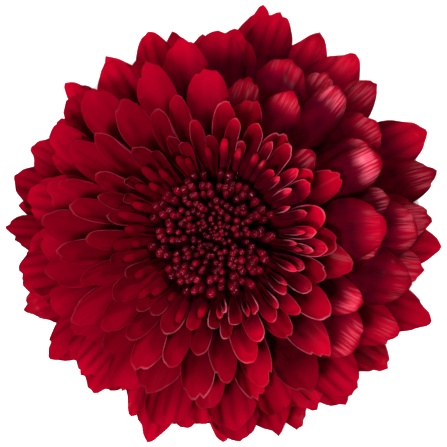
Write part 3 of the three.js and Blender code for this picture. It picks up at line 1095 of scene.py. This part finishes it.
class BLOOM_OT_receptacle(bpy.types.Operator):
    """Build the receptacle that carries the rays"""
    bl_idname = "bloom.receptacle"
    bl_label = "Receptacle"

    def execute(self, context):
        parts = MeshParts()
        add_lathed(parts, CORE)
        finish_piece(parts, "receptacle", receptacle_material(), "ray_florets")
        return {"FINISHED"}


class BLOOM_OT_disc_florets(bpy.types.Operator):
    """Build the disc of closed florets on its cushion"""
    bl_idname = "bloom.disc_florets"
    bl_label = "Disc florets"

    def execute(self, context):
        settings = context.scene.bloom_disc
        cushion = MeshParts()
        add_lathed(cushion, CUSHION)
        finish_piece(cushion, "disc_cushion", receptacle_material(), "disc_florets")
        parts = MeshParts()
        draw = Draws(DISC_SEED)
        for n in range(settings.count):
            self.add_bud(parts, settings, n, draw)
        finish_piece(parts, "disc_buds", disc_material(settings), "disc_florets")
        return {"FINISHED"}

    def add_bud(self, parts, settings, n, draw):
        """One closed bud with lobes and seams at its top. Buds grow and lean towards the edge."""
        outward = ((n + 0.5) / settings.count) ** DISC_SPREAD
        head_r = settings.bud_radius / MM * (BUD_SMALLEST + (1 - BUD_SMALLEST) * outward ** 0.9)
        head_r *= 1 + BUD_VARIES["radius"] * draw()
        height = BUD_HEIGHT[0] + (BUD_HEIGHT[1] - BUD_HEIGHT[0]) * outward
        height += BUD_VARIES["height"] * draw()
        lean = BUD_LEAN * outward ** 1.5 + BUD_VARIES["lean"] * draw()
        sideways = BUD_VARIES["sideways"] * draw()
        own_draw = Draws(BUD_SEED[0] + BUD_SEED[1] * n)
        top = height - head_r * (1.3 + (own_draw() * 0.5 + 0.5))
        profile = rounded([
            (head_r * 0.42, 0), (head_r * 0.5, top * 0.5), (head_r * 0.84, top * 0.85),
            (head_r, top), (head_r * 0.95, height - head_r * 0.6),
            (head_r * 0.62, height - head_r * 0.14), (head_r * 0.02, height),
        ], 3)

        def lobes(angle, rows):
            near_top = smooth(0.7, 0.95, rows[:, 1:2] / height)
            return 1 + BUD_LOBE_DEPTH * near_top * np.cos(BUD_LOBES * angle)

        points, faces = lathe(profile, BUD_SIDES, lobes)
        share = np.repeat(profile[:, 1] / height, BUD_SIDES)
        angle = np.tile(np.arange(BUD_SIDES) / BUD_SIDES * 2 * math.pi, len(profile))
        seam = (0.5 - 0.5 * np.cos(BUD_LOBES * angle)) ** 3 * smooth(0.72, 0.9, share)
        points[:, 2] -= BUD_SEAM_DEPTH * head_r * seam
        azimuth = n * GOLDEN_ANGLE
        turn = Matrix.Translation((*AXIS, 0)) @ Matrix.Rotation(math.radians(azimuth), 4, "Z")
        turn = turn @ Matrix.Translation((outward * DISC_FOOT_R, 0, BUD_FOOT_Z))
        turn = turn @ Matrix.Rotation(math.radians(sideways), 4, "X")
        turn = np.array(turn @ Matrix.Rotation(math.radians(lean), 4, "Y") @ Matrix.Rotation(n, 4, "Z"))
        points = points @ turn[:3, :3].T + turn[:3, 3]
        coords = np.stack([angle * head_r, share * height, np.full(len(share), 2.0 * n)], axis=-1)
        toward = math.radians(azimuth)
        place = (outward * math.cos(toward), outward * math.sin(toward))
        # The bud's distance from the place where the buds are darkest, given as its age.
        from_darkest = math.dist(place, DISC_DARKEST)
        # Painted shade on the outer buds of one side.
        shaded = BUD_SHADE * outward * facing(azimuth, BUD_SHADE_SIDE)
        parts.add(points, faces, coords, along=share, rim=seam, age=from_darkest,
                  tint=own_draw() * 0.5 + 0.5 - shaded)


class BLOOM_OT_involucre(bpy.types.Operator):
    """Build the green cup and its rows of bracts"""
    bl_idname = "bloom.involucre"
    bl_label = "Involucre"

    def execute(self, context):
        settings = context.scene.bloom_green
        parts = MeshParts()
        add_lathed(parts, CUP)
        number = 0
        for row in BRACT_ROWS:
            for n in range(row["count"]):
                azimuth = row["turn"] + n * 360 / row["count"]
                self.add_bract(parts, {**BRACT_SHAPE, **row, "azimuth": azimuth}, number)
                number += 1
        material = green_material("green bract", settings.bract_color, settings.margin_color)
        finish_piece(parts, "cup_and_bracts", material, "involucre")
        return {"FINISHED"}

    def add_bract(self, parts, shape, number):
        """One pointed bract with a keel down its back."""
        rows, columns = BRACT_GRID
        end = 0.55 + 0.45 * (1 - np.abs(spaced(columns)) ** 1.2) ** 0.8
        share, u, v = blade_grid(rows, columns, 1.4, end)
        keel = BRACT_KEEL * np.exp(-(v / 0.2) ** 2) * smooth(0, 0.2, u)
        sheet = place_on_blade(shape, u, v, -keel)
        edge = np.minimum(1 - np.abs(v), (1 - share) * 1.6)
        coords = (v * BRACT_HALF_WIDTH, u * BRACT_LENGTH, 2.0 * number)
        thickness = BRACT_THICKNESS * round_edge(edge, 0.3)
        parts.add_sheet(sheet, thickness, coords, rim=fade(0.05, 0.3, edge))


class BLOOM_OT_stem(bpy.types.Operator):
    """Build the cut stub of stem"""
    bl_idname = "bloom.stem"
    bl_label = "Stem"

    def execute(self, context):
        settings = context.scene.bloom_green
        parts = MeshParts()
        profile = list(STEM_END)
        profile += [(STEM_R, z) for z in np.linspace(0.6, STEM_TOP_Z, 12)] + [(0.01, STEM_TOP_Z)]

        def ribs(angle, rows):
            near_skin = smooth(1, 2.4, rows[:, :1])
            return 1 + STEM_RIB_DEPTH / STEM_R * np.cos(STEM_RIBS * angle) * near_skin

        points, faces = lathe(profile, STEM_SIDES, ribs)
        height = points[:, 2].copy()
        radius = np.hypot(points[:, 0], points[:, 1])
        angle = np.arctan2(points[:, 1], points[:, 0])
        coords = np.stack([angle * STEM_R, height, np.zeros(len(points))], axis=-1)
        points += (*AXIS, 0)
        cut = (1 - smooth(0.1, 0.3, height)) * (1 - smooth(2.25, 2.6, radius))
        parts.add(points, faces, coords, rim=cut)
        material = green_material("green stem", settings.stem_color, settings.pith_color)
        finish_piece(parts, "stem_stub", material, "stem")
        return {"FINISHED"}


class BLOOM_OT_stage(bpy.types.Operator):
    """Build the pale floor, the soft lights and the camera"""
    bl_idname = "bloom.stage"
    bl_label = "Stage"

    def execute(self, context):
        settings = context.scene.bloom_stage
        floor = self.add_floor(settings)
        self.add_floor_light(floor)
        self.add_world(context)
        for name, size, place in LIGHTS:
            self.add_light(name, getattr(settings, name + "_power"), size, place)
        self.add_camera(context, settings)
        context.scene.view_settings.view_transform = "Standard"
        return {"FINISHED"}

    def add_floor(self, settings):
        mesh = bpy.data.meshes.new("floor")
        corners = [(FLOOR_HALF * x, FLOOR_HALF * y, 0) for x, y in ((-1, -1), (1, -1), (1, 1), (-1, 1))]
        mesh.from_pydata(corners, [], [(0, 1, 2, 3)])
        floor = add_object("floor", mesh)
        made = MaterialMaker("floor")
        seen = made.add("LightPath")["Is Camera Ray"]
        made.feed("Base Color", made.mix(seen, FLOOR_TO_BLOOM, settings.floor_color))
        made.feed("Roughness", 0.9)
        made.feed("Specular IOR Level", 0.1)
        mesh.materials.append(made.material)
        return floor

    def add_floor_light(self, floor):
        """A lamp that only lights the floor, so that the floor stays pale round the bloom."""
        data = bpy.data.lights.new("floor light", "SUN")
        data.energy = FLOOR_LIGHT
        data.angle = FLOOR_LIGHT_ANGLE
        lamp = add_object("floor light", data)
        only_floor = bpy.data.collections.new("lit by the floor light")
        only_floor.objects.link(floor)
        lamp.light_linking.receiver_collection = only_floor

    def add_world(self, context):
        """A white surround that lights the bloom only a little."""
        world = bpy.data.worlds.new("studio")
        world.use_nodes = True
        back = world.node_tree.nodes["Background"]
        made = NodeMaker(world.node_tree)
        made.put((1, 1, 1), back.inputs["Color"])
        seen = made.add("LightPath")["Is Camera Ray"]
        strength = made.spread(seen, 0, 1, WORLD_LIGHT, 1, kind="LINEAR")
        made.put(strength, back.inputs["Strength"])
        context.scene.world = world

    def add_light(self, name, power, size, place):
        data = bpy.data.lights.new(name, "AREA")
        data.energy = power
        data.size = size
        light = add_object(name, data)
        light.location = place
        toward = Vector(LIGHTS_AIM) - light.location
        light.rotation_euler = toward.to_track_quat("-Z", "Y").to_euler()

    def add_camera(self, context, settings):
        data = bpy.data.cameras.new("camera")
        data.sensor_width = SENSOR
        data.lens = SENSOR * settings.camera_distance / VIEW_WIDTH
        data.clip_start = 0.01
        camera = add_object("camera", data)
        tilt = math.radians(CAMERA_TILT)
        side = math.radians(CAMERA_FROM)
        back = Vector((math.sin(tilt) * math.cos(side), math.sin(tilt) * math.sin(side), math.cos(tilt)))
        right = (Vector((1, 0, 0)) - back * back.x).normalized()
        up = back.cross(right)
        turn = Matrix((right, up, back)).transposed().to_4x4()
        place = Vector(CAMERA_AIM) + back * settings.camera_distance
        camera.matrix_world = Matrix.Translation(place) @ turn
        context.scene.camera = camera


class BLOOM_PT_panel(bpy.types.Panel):
    bl_label = "Bloom"
    bl_idname = "BLOOM_PT_panel"
    bl_space_type = "VIEW_3D"
    bl_region_type = "UI"
    bl_category = "Bloom"

    def draw(self, context):
        layout = self.layout
        for operator in OPERATORS:
            layout.operator(operator.bl_idname)
        for group, kind in SETTINGS:
            box = layout.box()
            for name in kind.__annotations__:
                box.prop(getattr(context.scene, group), name)


SETTINGS = (
    ("bloom_rays", RaySettings),
    ("bloom_disc", DiscSettings),
    ("bloom_green", GreenSettings),
    ("bloom_stage", StageSettings),
)
OPERATORS = (
    BLOOM_OT_stage, BLOOM_OT_ray_florets, BLOOM_OT_receptacle, BLOOM_OT_disc_florets,
    BLOOM_OT_involucre, BLOOM_OT_stem,
)


def register():
    for name, settings in SETTINGS:
        bpy.utils.register_class(settings)
        setattr(bpy.types.Scene, name, PointerProperty(type=settings))
    for operator in OPERATORS:
        bpy.utils.register_class(operator)
    bpy.utils.register_class(BLOOM_PT_panel)


def unregister():
    bpy.utils.unregister_class(BLOOM_PT_panel)
    for operator in reversed(OPERATORS):
        bpy.utils.unregister_class(operator)
    for name, settings in reversed(SETTINGS):
        delattr(bpy.types.Scene, name)
        bpy.utils.unregister_class(settings)


def main():
    register()
    bpy.ops.bloom.stage()
    bpy.ops.bloom.ray_florets()
    bpy.ops.bloom.receptacle()
    bpy.ops.bloom.disc_florets()
    bpy.ops.bloom.involucre()
    bpy.ops.bloom.stem()


if __name__ == "__main__":
    main()
